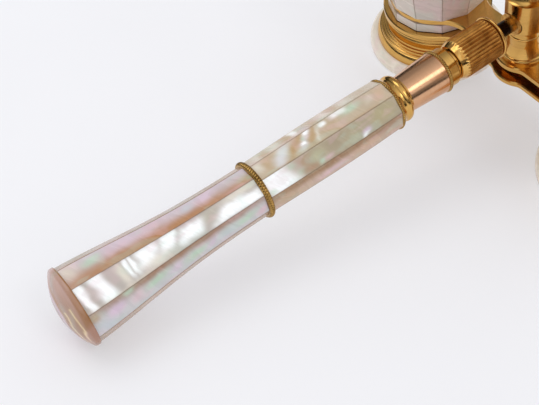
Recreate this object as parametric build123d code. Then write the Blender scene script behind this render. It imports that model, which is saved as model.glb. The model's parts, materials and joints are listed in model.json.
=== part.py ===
"""Opera glasses with pearl-faced barrels and a telescoping pearl handle.

The glasses are drawn with both optical axes along Z, the objectives up, the central column on
the Z axis and the handle along -Y at height 0. At the end everything is tilted and set down the
way it lies on a table: on the rims of the two eyecups and the butt of the handle.
Lengths are in millimetres, and heights along the handle are distances from the column's axis.
"""

from build123d import *
from math import acos, asin, atan2, cos, degrees, hypot, pi, radians, sin, sqrt, tan
import os

# ---- driving dimensions: barrels ----
half_spacing = 31.3  # column to each optical axis
wall = 0.7  # brass sheet of the barrels
ocular_end = -15.7  # lower end of the fixed barrels
neck_top = -11.6  # top of the barrel's narrow cylinder
cone_top = 14.5  # top of the barrel's cone
tube_top = 18.6
neck_r = 11.4  # barrel radius at the ocular end
mouth_r = 15.6  # barrel radius at the objective end
pearl_t = 1.0  # thickness of the pearl on the barrels
barrel_facets = 12
barrel_clock = 9.0  # first pearl facet of a barrel from the +X side, degrees
ocular_pearl_gap = 0.1  # brass left bare below the ocular pearl
guide_length = 13.1
seam = 0.06  # glue line between neighbouring pearl staves
touch = 0.02  # glue under a pearl stave

# ---- bridges ----
plate_t = 1.6
ocular_bridge_z = -13.2
objective_bridge_z = 14.5
eyepiece_bridge_z = -17.3
eyepiece_plate_t = 1.5
pad_r = 6.7  # round pad at the column
waist = 5.1  # half width between the pad and a barrel
moving_grow = 0.6  # the moving bridge is this much larger all round
pad_blend = 3.5
collar_blend = 9.0

# ---- eyepieces ----
draw_r = 9.8
draw_wall = 0.6
draw_top = 4.0
draw_bottom = -19.5
slide_gap = 0.05
spigot_r = 11.6  # eyepiece mount, inside the moving bridge
torus_r = 14.1
lip_r = 16.0
lip_bottom = -25.6
cup_r = 18.1
cup_bottom = -29.0
cup_edge = 0.7  # rounding of the rim that stands on the table
eye_lens_r = 7.5

# ---- objectives ----
bezel_r = 17.4
bezel_top = 23.4
lens_r = 14.6
crown_front_r = 90.0
cemented_r = 75.0

# ---- column, housing and focusing gear ----
screw_r = 1.3
bearing_r = 1.36
housing_r = 5.0
housing_bottom = -2.5
housing_top = 5.6
cavity_r = 4.1
window_r = 2.95
nut_r = 2.4
nut_bore_r = 2.45
nut_top = -3.6
screw_bottom = -16.5
screw_top = 7.5
gear_teeth = 14
gear_pitch_r = 2.6
gear_face = 1.1
gear_hub_r = 2.2
arbor_r = 1.8  # drum gear between the housing and the drum
collar_r = 2.88  # collar of the drum gear, closing the housing's window
collar_start = 4.3
collar_end = 5.2
pressure_angle = radians(20)
tooth_share = 0.86  # tooth thickness over its full share of the pitch, for backlash

# ---- stem, drum and neck ----
stem_r = 1.9
stem_step = 13.7
stem_end = 34.0
drum_bore_r = 1.96
flange_start = 10.8
drum_start = 11.5
bevel_start = 21.5
drum_end = 23.3
drum_r = 4.95
drum_end_r = 4.2
flutes = 32
flute_r = 0.4
neck_start = 27.8
neck_end = 38.05
neck_big_r = 5.0
neck_small_r = 4.4
neck_bead_r = 5.3
neck_bead_t = 0.8

# ---- telescoping handle ----
inner_tube_r = 2.9
middle_tube_r = 3.7
handle_wall = 0.5
bush_t = 0.25
inner_tube_end = 91.0
middle_tube_start = 38.5
middle_tube_end = 97.0
bush_length = 12.0
collar_length = 8.0
ferrule_start = 38.1
ferrule_end = 42.65
ferrule_bead_t = 0.65
ferrule_bead_r = 6.4
grip_tube_r = 4.5
grip_tube_start = 40.5
grip_tube_end = 122.0
ring_start = 78.2
ring_end = 79.6
ring_r = 6.9
stave_count = 9
stave_t = 1.2
upper_clock = 1.6  # first upper stave from the +X side, degrees
stave_clock = 12.0  # the lower staves are turned this far from the upper ones, degrees
butt_start = 123.8
butt_rim = 1.1
butt_dome = 3.0
butt_r = 9.2
butt_edge = 0.35  # rounding of the butt's rim

os.makedirs("parts", exist_ok=True)
nodes = {}


# ---- helpers ----
def in_plane(point):
    """A (radius, height) pair as a point of the XZ plane."""
    return (point[0], 0, point[1])


def outline(start, *steps):
    """Closed face in the XZ plane. A step is a point for a line, or (through, end) for an arc."""
    edges = []
    here = start
    for step in steps:
        if isinstance(step[0], tuple):
            through, there = step
            edges.append(ThreePointArc(in_plane(here), in_plane(through), in_plane(there)))
        else:
            there = step
            edges.append(Line(in_plane(here), in_plane(there)))
        here = there
    edges.append(Line(in_plane(here), in_plane(start)))
    return make_face(edges)


def turned(start, *steps):
    """Solid of revolution about Z, from an outline of (radius, height) points."""
    return revolve(outline(start, *steps), Axis.Z)


def tube(outer, inner, low, high):
    return turned((inner, low), (outer, low), (outer, high), (inner, high))


def rod(radius, low, high):
    return Pos(0, 0, (low + high) / 2) * Cylinder(radius, high - low)


def bead(bore, radius, low, high):
    """Ring with a half-round outside."""
    height = high - low
    shoulder = radius - height / 2
    return turned(
        (bore, low),
        (shoulder, low),
        ((radius, (low + high) / 2), (shoulder, high)),
        (bore, high),
    )


def dome_mid(edge, top):
    """Point half way out on the sphere through an edge point and a top on the Z axis."""
    rise = top - edge[1]
    sphere_r = (edge[0] ** 2 + rise**2) / (2 * rise)
    half = edge[0] / 2
    centre = top - sphere_r
    side = 1 if sphere_r > 0 else -1
    return (half, centre + side * sqrt(sphere_r**2 - half**2))


def along_handle(shape):
    """Turns a shape drawn up Z so that it lies along the handle."""
    return Rot(90, 0, 0) * shape


def sides():
    return (("left", -half_spacing), ("right", half_spacing))


def staves(count, outer, inner, clock):
    """Flat-faced staves round Z. outer and inner are (distance of the flat, height) points."""
    outer_edge = Spline([in_plane(p) for p in outer]) if len(outer) > 2 else Line(*map(in_plane, outer))
    inner_edge = Spline([in_plane(p) for p in inner]) if len(inner) > 2 else Line(*map(in_plane, inner))
    low_edge = Line(in_plane(inner[0]), in_plane(outer[0]))
    high_edge = Line(in_plane(outer[-1]), in_plane(inner[-1]))
    reach = 2 * max(p[0] for p in outer)
    slab = extrude(make_face([low_edge, outer_edge, high_edge, inner_edge]), reach, both=True)
    half = pi / count
    apex = seam / 2 / sin(half)
    side = reach * tan(half) - seam / 2 / cos(half)
    low = min(p[1] for p in outer) - 1
    high = max(p[1] for p in outer) + 1
    triangle = make_face(Polyline((apex, 0, low), (reach, side, low), (reach, -side, low), close=True))
    stave = slab & extrude(triangle, high - low, dir=(0, 0, 1))
    turns = [Rot(0, 0, clock + 360 * k / count) for k in range(count)]
    return [(turn * stave).solids()[0] for turn in turns]


# ---- barrels ----
def barrel_r(height):
    """Outer radius of the brass barrel's cone."""
    return neck_r + (mouth_r - neck_r) * (height - neck_top) / (cone_top - neck_top)


def make_barrel_tube():
    return turned(
        (neck_r - wall, ocular_end),
        (neck_r, ocular_end),
        (neck_r, neck_top),
        (mouth_r, cone_top),
        (mouth_r, tube_top),
        (mouth_r - wall, tube_top),
        (mouth_r - wall, cone_top),
        (neck_r - wall, neck_top),
    )


def make_barrel_pearl():
    low = neck_top + touch
    high = cone_top - touch
    inner = [(barrel_r(low) + touch, low), (barrel_r(high) + touch, high)]
    outer = [(r + pearl_t, z) for r, z in inner]
    return Compound(staves(barrel_facets, outer, inner, clock=barrel_clock))


def make_ocular_pearl():
    low = ocular_end + ocular_pearl_gap
    high = ocular_bridge_z - touch
    inner = [(neck_r + touch, low), (neck_r + touch, high)]
    outer = [(r + pearl_t, z) for r, z in inner]
    return Compound(staves(barrel_facets, outer, inner, clock=barrel_clock))


def make_guide():
    return tube(neck_r - wall, draw_r + slide_gap, ocular_end, ocular_end + guide_length)


def place_barrels():
    guides = []
    for side, x in sides():
        nodes["barrel_tube_" + side] = Pos(x, 0, 0) * make_barrel_tube()
        nodes["barrel_pearl_" + side] = Pos(x, 0, 0) * make_barrel_pearl()
        nodes["ocular_pearl_" + side] = Pos(x, 0, 0) * make_ocular_pearl()
        guides += (Pos(x, 0, 0) * make_guide()).solids()
    nodes["barrel_guides"] = Compound(guides)


# ---- bridges ----
def bridge_face(grow, collar_r):
    pad = pad_r + grow
    half = waist + grow
    face = Circle(pad) + Rectangle(2 * half_spacing, 2 * half)
    for _, x in sides():
        face += Pos(x, 0) * Circle(collar_r)
    corners = [v for v in face.vertices() if abs(abs(v.Y) - half) < 0.001]
    pad_corners = [v for v in corners if abs(v.X) < pad]
    face = fillet(pad_corners, pad_blend)
    corners = [v for v in face.vertices() if abs(abs(v.Y) - half) < 0.001]
    last = max(abs(v.X) for v in corners)
    return fillet([v for v in corners if abs(abs(v.X) - last) < 0.001], collar_blend)


def bridge(low, thickness, grow, collar_r, barrel_hole, centre_hole):
    plate = Pos(0, 0, low) * extrude(bridge_face(grow, collar_r), thickness)
    for _, x in sides():
        plate -= Pos(x, 0, 0) * rod(barrel_hole, low - 1, low + thickness + 1)
    plate -= rod(centre_hole, low - 1, low + thickness + 1)
    rims = plate.faces().sort_by(Axis.Z)
    outer_edges = [rims[0].outer_wire().edges(), rims[-1].outer_wire().edges()]
    return chamfer(outer_edges[0] + outer_edges[1], 0.25)


def place_bridges():
    ocular_collar = neck_r + pearl_t
    nodes["ocular_bridge"] = bridge(ocular_bridge_z, plate_t, 0, ocular_collar, neck_r, 3.4)
    nodes["objective_bridge"] = bridge(objective_bridge_z, plate_t, 0, mouth_r + 1.4, mouth_r, 1.6)
    nodes["eyepiece_bridge"] = bridge(
        eyepiece_bridge_z, eyepiece_plate_t, moving_grow, torus_r, spigot_r, nut_r
    )


# ---- objectives ----
def sag(sphere_r, radius):
    return sphere_r - sqrt(sphere_r**2 - radius**2)


flint_back = 18.8
flint_centre = 0.9
cement = 0.02
crown_edge = 0.9
crown_back = flint_back + flint_centre + cement
crown_rim_low = crown_back + sag(cemented_r, lens_r)
crown_rim_high = crown_rim_low + crown_edge
crown_front = crown_rim_high + sag(crown_front_r, lens_r)


def make_crown():
    back_edge = (lens_r, crown_rim_low)
    front_edge = (lens_r, crown_rim_high)
    return turned(
        (0, crown_back),
        (dome_mid(back_edge, crown_back), back_edge),
        front_edge,
        (dome_mid(front_edge, crown_front), (0, crown_front)),
    )


def make_flint():
    front = flint_back + flint_centre
    edge = (lens_r, front + sag(cemented_r, lens_r))
    return turned(
        (0, flint_back),
        (lens_r, flint_back),
        edge,
        (dome_mid(edge, front), (0, front)),
    )


def make_bezel():
    seat = crown_rim_high + 0.9
    return turned(
        (mouth_r, objective_bridge_z + plate_t),
        (bezel_r + 0.1, objective_bridge_z + plate_t),
        ((bezel_r + 0.6, 16.8), (bezel_r + 0.1, 17.5)),
        (bezel_r - 0.5, 17.7),
        ((bezel_r - 0.9, 18.3), (bezel_r - 0.4, 18.9)),
        (bezel_r, 19.0),
        (bezel_r, bezel_top - 0.4),
        ((bezel_r - 0.12, bezel_top - 0.12), (bezel_r - 0.4, bezel_top)),
        (lens_r + 0.6, bezel_top),
        (lens_r, seat),
        (lens_r, flint_back),
        (lens_r - 0.8, flint_back),
        (lens_r - 0.8, tube_top),
        (mouth_r, tube_top),
    )


def make_objective_ring():
    return turned(
        (lens_r - 1.2, crown_rim_high + 0.3),
        (lens_r, crown_rim_high + 0.08),
        (lens_r, crown_rim_high + 0.85),
        (lens_r - 0.9, crown_rim_high + 0.85),
    )


def place_objectives():
    rings = []
    for side, x in sides():
        nodes["objective_bezel_" + side] = Pos(x, 0, 0) * make_bezel()
        nodes["objective_crown_" + side] = Pos(x, 0, 0) * make_crown()
        nodes["objective_flint_" + side] = Pos(x, 0, 0) * make_flint()
        rings += (Pos(x, 0, 0) * make_objective_ring()).solids()
    nodes["objective_rings"] = Compound(rings)


# ---- eyepieces ----
def make_eyepiece_mount():
    """Turned brass body: spigot, torus, deep scotia, four fine steps and the broad bright lip."""
    under = eyepiece_bridge_z
    return turned(
        (draw_r, eyepiece_bridge_z + eyepiece_plate_t),
        (spigot_r, eyepiece_bridge_z + eyepiece_plate_t),
        (spigot_r, under),
        (torus_r - 0.5, under),
        ((torus_r - 0.1, under - 0.45), (torus_r - 0.5, under - 0.9)),
        (12.9, under - 1.0),
        ((11.9, under - 2.2), (12.9, under - 3.4)),
        (13.5, under - 3.5),
        (13.6, under - 4.0),
        (14.0, under - 4.1),
        (14.1, under - 4.6),
        (14.5, under - 4.7),
        (14.6, under - 5.2),
        (15.0, under - 5.3),
        (15.1, under - 5.8),
        (lip_r - 0.7, under - 5.9),
        ((lip_r - 0.05, under - 7.1), (lip_r, lip_bottom)),
        (eye_lens_r + 1.2, lip_bottom),
        (eye_lens_r, lip_bottom),
        (eye_lens_r, -23.0),
        (eye_lens_r - 1.0, -23.0),
        (draw_r - 1.4, draw_bottom - 0.6),
        (draw_r - 1.4, draw_bottom),
        (draw_r, draw_bottom),
    )


def make_eyecup():
    """Dished pearl ring with a flared edge."""
    return turned(
        (eye_lens_r + 0.6, lip_bottom),
        (lip_r + 0.2, lip_bottom),
        ((cup_r - 0.55, -26.3), (cup_r, -27.5)),
        (cup_r, cup_bottom + cup_edge),
        (
            (cup_r - cup_edge + cup_edge * cos(pi / 4), cup_bottom + cup_edge - cup_edge * sin(pi / 4)),
            (cup_r - cup_edge, cup_bottom),
        ),
        (cup_r - 1.6, cup_bottom),
        ((12.2, -27.1), (eye_lens_r + 0.6, -26.4)),
    )


def make_eye_lens():
    """Hollow on both faces, with a flat rim for its seat and its ring."""
    outer = (eye_lens_r - 0.5, -25.2)
    inner = (eye_lens_r - 0.5, -23.02)
    return turned(
        (0, -24.55),
        (dome_mid(outer, -24.55), outer),
        (eye_lens_r, -25.2),
        (eye_lens_r, -23.02),
        inner,
        (dome_mid(inner, -23.65), (0, -23.65)),
    )


def make_eye_lens_ring():
    return tube(eye_lens_r, eye_lens_r - 0.9, lip_bottom - 0.3, -25.22)


def place_eyepieces():
    rings = []
    for side, x in sides():
        nodes["draw_tube_" + side] = Pos(x, 0, 0) * tube(draw_r, draw_r - draw_wall, draw_bottom, draw_top)
        nodes["eyepiece_mount_" + side] = Pos(x, 0, 0) * make_eyepiece_mount()
        nodes["eyecup_" + side] = Pos(x, 0, 0) * make_eyecup()
        nodes["eye_lens_" + side] = Pos(x, 0, 0) * make_eye_lens()
        rings += (Pos(x, 0, 0) * make_eye_lens_ring()).solids()
    nodes["eye_lens_rings"] = Compound(rings)


# ---- column and housing ----
def window():
    """Round window in the housing that the drum's gear enters by."""
    return along_handle(rod(window_r, 1.6, 2 * housing_r))


def make_column_lower():
    base = ocular_bridge_z + plate_t
    spigot_end = ocular_bridge_z - 1.3
    column = turned(
        (nut_bore_r, spigot_end),
        (3.4, spigot_end),
        (3.4, base),
        (5.6, base),
        (5.6, base + 0.5),
        (5.15, base + 0.55),
        ((4.9, base + 0.9), (4.6, base + 1.0)),
        ((4.15, base + 2.4), (3.95, base + 4.0)),
        (4.1, base + 6.5),
        ((4.25, base + 6.9), (4.05, base + 7.3)),
        (4.05, base + 8.3),
        (4.15, base + 8.8),
        (4.15, housing_bottom),
        (bearing_r, housing_bottom),
        (bearing_r, housing_bottom - 0.7),
        (nut_bore_r, housing_bottom - 0.7),
    )
    return column - window()


def make_gear_housing():
    body = turned(
        (0, housing_bottom),
        (housing_r - 0.5, housing_bottom),
        (housing_r, housing_bottom + 0.5),
        (housing_r, housing_top),
        (0, housing_top),
    )
    body -= rod(cavity_r, 1.6, housing_top + 1)
    body -= rod(1.62, housing_bottom - 1, 1.7)
    body -= along_handle(rod(2.3, -2.2, 2 * housing_r))
    body -= along_handle(rod(1.2, -2 * housing_r, 0))
    return body - window()


def make_column_upper():
    base = housing_top
    top = objective_bridge_z
    column = turned(
        (0, base - 0.6),
        (cavity_r, base - 0.6),
        (cavity_r, base),
        (housing_r, base),
        (housing_r, base + 0.8),
        ((3.6, base + 2.0), (3.4, base + 3.8)),
        ((3.7, base + 6.0), (4.8, top - 1.0)),
        (4.8, top),
        (1.6, top),
        (1.6, top - 3.0),
        (0, top - 3.0),
    )
    return column - rod(bearing_r, base - 1, screw_top + 0.5)


def make_finial():
    seat = objective_bridge_z + plate_t
    return turned(
        (0, seat - plate_t - 2.8),
        (1.6, seat - plate_t - 2.8),
        (1.6, seat),
        (4.6, seat),
        ((5.0, seat + 0.5), (4.6, seat + 1.0)),
        (3.2, seat + 1.2),
        ((2.6, seat + 1.8), (3.2, seat + 2.4)),
        ((4.2, seat + 3.6), (2.8, seat + 5.0)),
        (dome_mid((2.8, seat + 5.0), seat + 5.7), (0, seat + 5.7)),
    )


def place_column():
    nodes["column_lower"] = make_column_lower()
    nodes["bridge_nut"] = extrude(
        Pos(0, 0, ocular_bridge_z - 1.2) * (RegularPolygon(4.9, 6) - Circle(3.4)), 1.2
    )
    nodes["gear_housing"] = make_gear_housing()
    nodes["column_upper"] = make_column_upper()
    nodes["column_finial"] = make_finial()


# ---- focusing gear ----
def involute(angle):
    return tan(angle) - angle


def tooth_points(scale):
    """Corners of one straight bevel tooth about the X axis, at this share of the cone distance."""
    virtual_r = gear_pitch_r * sqrt(2)
    module = 2 * gear_pitch_r / gear_teeth
    virtual_teeth = gear_teeth * sqrt(2)
    base_r = virtual_r * cos(pressure_angle)
    half_pitch = pi / 2 / virtual_teeth * tooth_share
    root = virtual_r - 1.35 * module
    tip = virtual_r + 0.9 * module
    flank = []
    for level in (root, base_r, virtual_r, (virtual_r + tip) / 2, tip):
        roll = acos(min(1.0, base_r / level))
        flank.append((level, half_pitch + involute(pressure_angle) - involute(roll)))
    points = []
    for sign, run in ((1, flank), (-1, reversed(flank))):
        for level, half_angle in run:
            out = level * cos(half_angle) - virtual_r
            x = (gear_pitch_r + out * cos(pi / 4)) * scale
            y = sign * level * sin(half_angle) * scale
            z = (gear_pitch_r - out * sin(pi / 4)) * scale
            points.append((x, y, z))
    return points


def bevel_gear(hub_end, clock):
    """Straight bevel gear about Z with its pitch cone's apex at the origin."""
    module = 2 * gear_pitch_r / gear_teeth
    depth = 1.15 * module / sqrt(2)
    inner = 1 - gear_face / (gear_pitch_r * sqrt(2))
    root_r = gear_pitch_r - depth
    root_z = gear_pitch_r + depth
    body = turned(
        (bearing_r, root_z * inner),
        (root_r * inner, root_z * inner),
        (root_r, root_z),
        (gear_hub_r, root_z),
        (gear_hub_r, hub_end),
        (bearing_r, hub_end),
    )
    ends = [make_face(Polyline(*tooth_points(scale), close=True)) for scale in (1.0, inner)]
    tooth = loft(ends, ruled=True)
    for k in range(gear_teeth):
        body += Rot(0, 0, clock + 360 * k / gear_teeth) * tooth
    return body


def make_drum_gear():
    """Bevel gear on a hollow arbor; its collar closes the housing's window."""
    arbor_end = stem_step - 0.1
    arbor = turned(
        (bearing_r, collar_start - 0.1),
        (gear_hub_r, collar_start - 0.1),
        (gear_hub_r, collar_start),
        (collar_r, collar_start),
        (collar_r, collar_end),
        (arbor_r, collar_end),
        (arbor_r, flange_start),
        (gear_hub_r, flange_start),
        (gear_hub_r, arbor_end),
        (bearing_r, arbor_end),
    )
    return bevel_gear(collar_start, 90) + arbor


def place_focus_gear():
    half_tooth = 180 / gear_teeth
    nodes["drum_gear"] = along_handle(make_drum_gear())
    screw_gear = bevel_gear(4.4, -90 + half_tooth)
    nodes["screw_gear"] = screw_gear
    nodes["focus_screw"] = (
        rod(screw_r, screw_bottom, screw_top)
        + rod(1.55, housing_bottom + 0.1, -1.25)
        + rod(bearing_r, 2.1, 4.4)
    )


def make_nut():
    low = eyepiece_bridge_z
    return turned(
        (bearing_r, low),
        (nut_r, low),
        (nut_r, nut_top),
        (bearing_r, nut_top),
    )


def make_nut_cap():
    low = eyepiece_bridge_z
    return turned(
        (0, low - 1.6),
        (dome_mid((4.2, low - 0.7), low - 1.6), (4.2, low - 0.7)),
        (4.2, low),
        (0, low),
    )


def place_nut():
    nodes["focus_nut"] = make_nut()
    nodes["nut_cap"] = make_nut_cap()


# ---- drum ----
def make_drum():
    drum = turned(
        (gear_hub_r, drum_start),
        (drum_r - 0.5, drum_start),
        ((drum_r - 0.15, drum_start + 0.15), (drum_r, drum_start + 0.6)),
        (drum_r, bevel_start),
        (drum_end_r, drum_end),
        (drum_bore_r, drum_end),
        (drum_bore_r, stem_step),
        (gear_hub_r, stem_step),
    )
    for k in range(flutes):
        groove = Pos(drum_r + 0.12, 0, 0) * rod(flute_r, 0, 2 * drum_end)
        drum -= Rot(0, 0, 360 * k / flutes) * groove
    return drum


def place_drum():
    nodes["focus_drum"] = along_handle(make_drum())
    nodes["drum_flange"] = along_handle(bead(gear_hub_r, drum_r + 0.35, flange_start, drum_start))


# ---- stem and neck ----
def make_stem():
    shaft = rod(stem_r, stem_step + 0.1, stem_end) + rod(screw_r, 1.0, stem_step + 0.2)
    shaft += rod(1.2, -housing_r + 0.3, -1.6)
    eye = rod(1.95, -1.15, 1.15)
    return (along_handle(shaft) + eye) - rod(bearing_r, -3, 3)


def make_neck_cone():
    return turned(
        (stem_r, neck_start),
        (neck_big_r - 0.15, neck_start),
        (neck_big_r, neck_start + 0.2),
        (neck_small_r, neck_end),
        (inner_tube_r, neck_end),
        (inner_tube_r, stem_end),
        (stem_r, stem_end),
    )


def make_neck_collar():
    front = drum_end + 0.15
    back = neck_start - neck_bead_t
    return turned(
        (stem_r, front),
        (3.6, front),
        (3.6, front + 0.9),
        (4.4, front + 1.0),
        (4.7, front + 1.3),
        (4.7, back),
        (stem_r, back),
    )


def place_neck():
    tube_start = stem_end
    nodes["handle_stem"] = make_stem()
    nodes["stem_nut"] = along_handle(
        turned(
            (0, -housing_r - 0.9),
            (dome_mid((2.2, -housing_r - 0.1), -housing_r - 0.9), (2.2, -housing_r - 0.1)),
            (2.2, -housing_r + 0.3),
            (0, -housing_r + 0.3),
        )
    )
    nodes["gear_housing"] -= along_handle(rod(2.2, -2 * housing_r, -housing_r + 0.3))
    nodes["neck_collar"] = along_handle(make_neck_collar())
    nodes["neck_bead"] = along_handle(bead(stem_r, neck_bead_r, neck_start - neck_bead_t, neck_start))
    nodes["neck_cone"] = along_handle(make_neck_cone())
    nodes["inner_draw_tube"] = along_handle(
        tube(inner_tube_r, inner_tube_r - handle_wall, tube_start, inner_tube_end)
    )
    stop = tube(inner_tube_r + bush_t, inner_tube_r, inner_tube_end - collar_length, inner_tube_end)
    nodes["inner_tube_collar"] = along_handle(stop)


# ---- telescoping handle ----
def place_middle_tube():
    bore = middle_tube_r - handle_wall
    bush = tube(bore, inner_tube_r + slide_gap, middle_tube_start, middle_tube_start + bush_length)
    collar_start = middle_tube_end - collar_length
    nodes["middle_draw_tube"] = along_handle(tube(middle_tube_r, bore, middle_tube_start, middle_tube_end))
    nodes["middle_tube_bush"] = along_handle(bush)
    nodes["middle_tube_collar"] = along_handle(
        tube(middle_tube_r + bush_t, middle_tube_r, collar_start, middle_tube_end)
    )


def make_ferrule():
    """Turned end of the grip: groove, bright torus and a hollow band up to the milled bead."""
    bore = middle_tube_r + 0.06
    bead_start = ferrule_end - ferrule_bead_t
    return turned(
        (bore, ferrule_start),
        (4.45, ferrule_start),
        (4.5, ferrule_start + 0.5),
        (4.95, ferrule_start + 0.55),
        ((5.72, ferrule_start + 1.4), (5.4, ferrule_start + 2.35)),
        ((5.42, ferrule_start + 3.1), (5.85, bead_start)),
        (grip_tube_r, bead_start),
        (grip_tube_r, grip_tube_start),
        (bore, grip_tube_start),
    )


upper_flats = [(5.95, ferrule_end + touch), (6.2, 58.0), (6.1, 69.0), (5.92, ring_start - touch)]
lower_flats = [
    (5.85, ring_end + touch),
    (6.0, 90.0),
    (6.62, 102.0),
    (7.66, 113.0),
    (8.52, butt_start - touch),
]


def under(flats):
    return [(r - stave_t, s) for r, s in flats]


def make_core(flats):
    """Turned wooden core under a set of staves."""
    bottom = in_plane((grip_tube_r, flats[0][1]))
    top = in_plane((grip_tube_r, flats[-1][1]))
    skin = Spline([in_plane((r - stave_t - touch, s)) for r, s in flats])
    edges = [Line(bottom, skin @ 0), skin, Line(skin @ 1, top), Line(top, bottom)]
    return revolve(make_face(edges), Axis.Z)


def make_butt_cap():
    """Pearl dome with a straight rim, whose corner is slightly rounded."""
    rim_end = butt_start + butt_rim
    corner = butt_edge * (1 - cos(pi / 4))
    dome_edge = (butt_r - butt_edge, rim_end + butt_edge)
    dome_top = rim_end + butt_dome
    return turned(
        (0, butt_start),
        (butt_r, butt_start),
        (butt_r, rim_end),
        ((butt_r - corner, rim_end + butt_edge * sin(pi / 4)), dome_edge),
        (dome_mid(dome_edge, dome_top), (0, dome_top)),
    )


def place_grip():
    bore = grip_tube_r - handle_wall
    bush_start = ferrule_end
    nodes["grip_ferrule"] = along_handle(make_ferrule())
    nodes["ferrule_bead"] = along_handle(
        bead(grip_tube_r, ferrule_bead_r, ferrule_end - ferrule_bead_t, ferrule_end)
    )
    nodes["grip_tube"] = along_handle(tube(grip_tube_r, bore, grip_tube_start, grip_tube_end))
    nodes["grip_bush"] = along_handle(
        tube(bore, middle_tube_r + slide_gap, bush_start, bush_start + bush_length)
    )
    nodes["upper_grip_core"] = along_handle(make_core(upper_flats))
    nodes["lower_grip_core"] = along_handle(make_core(lower_flats))
    upper = staves(stave_count, upper_flats, under(upper_flats), clock=upper_clock)
    lower = staves(stave_count, lower_flats, under(lower_flats), clock=upper_clock + stave_clock)
    nodes["upper_pearl_staves"] = along_handle(Compound(upper))
    nodes["lower_pearl_staves"] = along_handle(Compound(lower))
    nodes["band_ring"] = along_handle(bead(grip_tube_r, ring_r, ring_start, ring_end))
    nodes["butt_plug"] = along_handle(
        rod(grip_tube_r, grip_tube_end, butt_start) + rod(bore, grip_tube_end - 6, grip_tube_end)
    )
    nodes["butt_cap"] = along_handle(make_butt_cap())


# ---- setting down on the table ----
def resting_tilt():
    """Angle at which the eyecups' rims and the butt's rim touch one plane, in degrees."""
    cup_y = -(cup_r - cup_edge)
    cup_z = cup_bottom + cup_edge
    butt_y = -(butt_start + butt_rim)
    butt_z = -(butt_r - butt_edge)
    reach = hypot(cup_y - butt_y, cup_z - butt_z)
    slope = atan2(cup_z - butt_z, cup_y - butt_y)
    return degrees(asin((cup_edge - butt_edge) / reach) - slope)


place_barrels()
place_bridges()
place_objectives()
place_eyepieces()
place_column()
place_focus_gear()
place_nut()
place_drum()
place_neck()
place_middle_tube()
place_grip()

tilt = resting_tilt()
tilted = {name: Rot(tilt, 0, 0) * shape for name, shape in nodes.items()}
box = Compound(children=[Compound(shape.solids()) for shape in tilted.values()]).bounding_box()
centre_y = (box.min.Y + box.max.Y) / 2
for name, shape in tilted.items():
    export_step(Pos(0, -centre_y, -box.min.Z) * shape, f"parts/{name}.step")
print("tilt", tilt, "shift", -centre_y, -box.min.Z, "box", box.size, "nodes", len(nodes))
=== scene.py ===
"""Looks of the opera glasses: mother-of-pearl staves, gilt and rose-gilt brass, milled rings."""

import bpy
import json
import numpy as np
from math import atan2, cos, pi, radians, sin, sqrt, tan
from mathutils import Matrix, Vector


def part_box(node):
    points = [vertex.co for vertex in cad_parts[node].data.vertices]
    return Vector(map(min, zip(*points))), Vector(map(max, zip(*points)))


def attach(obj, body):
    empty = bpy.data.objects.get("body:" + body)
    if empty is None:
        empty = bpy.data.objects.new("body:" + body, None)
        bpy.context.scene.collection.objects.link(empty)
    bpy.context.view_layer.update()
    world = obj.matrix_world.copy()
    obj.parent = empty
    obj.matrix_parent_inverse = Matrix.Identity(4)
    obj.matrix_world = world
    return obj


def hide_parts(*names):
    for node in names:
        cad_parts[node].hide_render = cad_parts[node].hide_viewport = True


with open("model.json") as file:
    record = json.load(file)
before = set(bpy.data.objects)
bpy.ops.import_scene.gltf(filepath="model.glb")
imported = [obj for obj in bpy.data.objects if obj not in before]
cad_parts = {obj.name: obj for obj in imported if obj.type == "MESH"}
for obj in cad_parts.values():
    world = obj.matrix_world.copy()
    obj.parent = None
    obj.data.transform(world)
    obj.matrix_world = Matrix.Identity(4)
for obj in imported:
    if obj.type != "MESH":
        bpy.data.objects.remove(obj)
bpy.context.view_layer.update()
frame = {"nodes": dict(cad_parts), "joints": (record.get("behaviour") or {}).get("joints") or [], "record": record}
mm = 0.001
seed = 7

# ---- axes of the glasses, from the joints ----
joints = {joint["name"]: joint for joint in frame["joints"]}
centre = Vector(joints["screw_turn"]["pos_m"])
up = Vector(joints["screw_turn"]["axis"]).normalized()
back = Vector(joints["drum_turn"]["axis"]).normalized()
side = back.cross(up)
tilt = atan2(back.z, back.y)
axes = Matrix((side, back, up)).transposed().to_4x4()
glasses = Matrix.Translation(centre) @ axes @ Matrix.Scale(mm, 4)
handle = glasses @ Matrix(((1, 0, 0, 0), (0, 0, -1, 0), (0, 1, 0, 0), (0, 0, 0, 1)))
bezel_low, bezel_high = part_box("objective_bezel_right")
half_spacing = (bezel_low.x + bezel_high.x) / 2 / mm

# ---- measures after part.py, in millimetres: places along the handle, radii, thicknesses ----
# Bores round the stem and the gear's hub are 0.01 to 0.05 wider than there, to stay apart.
bevel_start = 21.5
bore_step = 13.7
drum_bore = 1.97
drum_counterbore = 2.25
drum_end_r = 4.2
collar_end = 5.2
grip_tube_r = 4.5
neck_bead_bore = 1.95
stave_t = 1.2
barrel_stave_t = 1.0
eyecup_bore = 8.1
barrel_facets = 12


def barrel(x):
    """Place whose Z runs along a barrel's axis."""
    return glasses @ Matrix.Translation((x, 0, 0))


def points_in(node, place):
    """A CAD node's points in the millimetres of a place."""
    points = np.array([vertex.co for vertex in frame["nodes"][node].data.vertices], float)
    to_place = np.array(place.inverted())
    return points @ to_place[:3, :3].T + to_place[:3, 3]


def reach(node, place):
    """Lowest and highest corner of a CAD node in the millimetres of a place."""
    local = points_in(node, place)
    return local.min(0), local.max(0)


def extent(node):
    """Start and end of a node along the handle, in millimetres from the column."""
    low, high = reach(node, handle)
    return low[2], high[2]


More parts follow.
